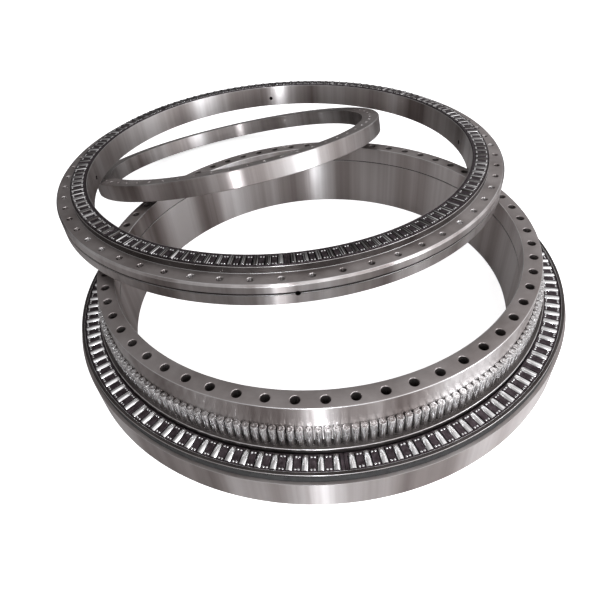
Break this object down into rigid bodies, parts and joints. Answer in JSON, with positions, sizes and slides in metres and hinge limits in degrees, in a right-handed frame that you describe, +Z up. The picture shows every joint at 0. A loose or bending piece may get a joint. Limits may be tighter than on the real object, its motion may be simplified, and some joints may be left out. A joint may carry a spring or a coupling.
{
  "type": "slewing ring bearing",
  "caption": "Three-row roller slewing ring bearing, taken apart and stacked: drilled support, outer and retaining rings with their caged roller rows.",
  "frame": {"origin": "bottom centre of the whole stack's bounding box, on the floor", "axes": "+Z up from the floor; +Y from the support ring towards the outer ring pushed back on it, the longest way across the stack; +X to the right"},
  "size_m": [2.359, 3.094, 0.557],
  "materials": {
    "ground_steel": "ground, satin, warm grey",
    "turned_steel": "fine turned, satin",
    "cage": "dark gunmetal cage with bright rollers",
    "roller": "polished",
    "seal": "matte black"
  },
  "bodies": {
    "support": {"support_ring": "ground_steel", "support_seal": "seal"},
    "support_row": {"support_row_1": "cage", "support_row_2": "cage", "support_row_3": "cage", "support_row_4": "cage", "support_row_5": "cage", "support_row_6": "cage", "support_row_7": "cage", "support_row_8": "cage"},
    "radial_row": {"radial_row_01": "roller", "radial_row_02": "roller", "radial_row_03": "roller", "radial_row_04": "roller", "radial_row_05": "roller", "radial_row_06": "roller", "radial_row_07": "roller", "radial_row_08": "roller", "radial_row_09": "roller", "radial_row_10": "roller", "radial_row_11": "roller", "radial_row_12": "roller"},
    "retaining_row": {"retaining_row_1": "cage", "retaining_row_2": "cage", "retaining_row_3": "cage", "retaining_row_4": "cage", "retaining_row_5": "cage", "retaining_row_6": "cage", "retaining_row_7": "cage", "retaining_row_8": "cage"},
    "outer": {"outer_ring": "turned_steel"},
    "retaining": {"retaining_ring": "turned_steel"}
  },
  "joints": [
    {"name": "support_row_turn", "type": "hinge", "parent": "support", "child": "support_row", "pos_m": [0.0865, -0.454, 0.1515], "axis": [0, 0, 1], "continuous": true},
    {"name": "radial_row_turn", "type": "hinge", "parent": "support", "child": "radial_row", "pos_m": [0.0865, -0.454, 0.218], "axis": [0, 0, 1], "continuous": true},
    {"name": "outer_ring_lift", "type": "slide", "parent": "support", "child": "retaining_row", "axis": [0, 0, 1], "range_m": [0, 0.8]},
    {"name": "outer_ring_slew", "type": "hinge", "parent": "retaining_row", "child": "outer", "pos_m": [-0.0377, 0.195, 0.4503], "axis": [0.0145, 0.017, 0.9998], "continuous": true},
    {"name": "retaining_ring_lift", "type": "slide", "parent": "support", "child": "retaining", "axis": [0, 0, 1], "range_m": [0, 0.4]}
  ],
  "couplings": [
    {"joint": "retaining_ring_lift", "follows": "outer_ring_lift", "ratio": 0.5}
  ]
}
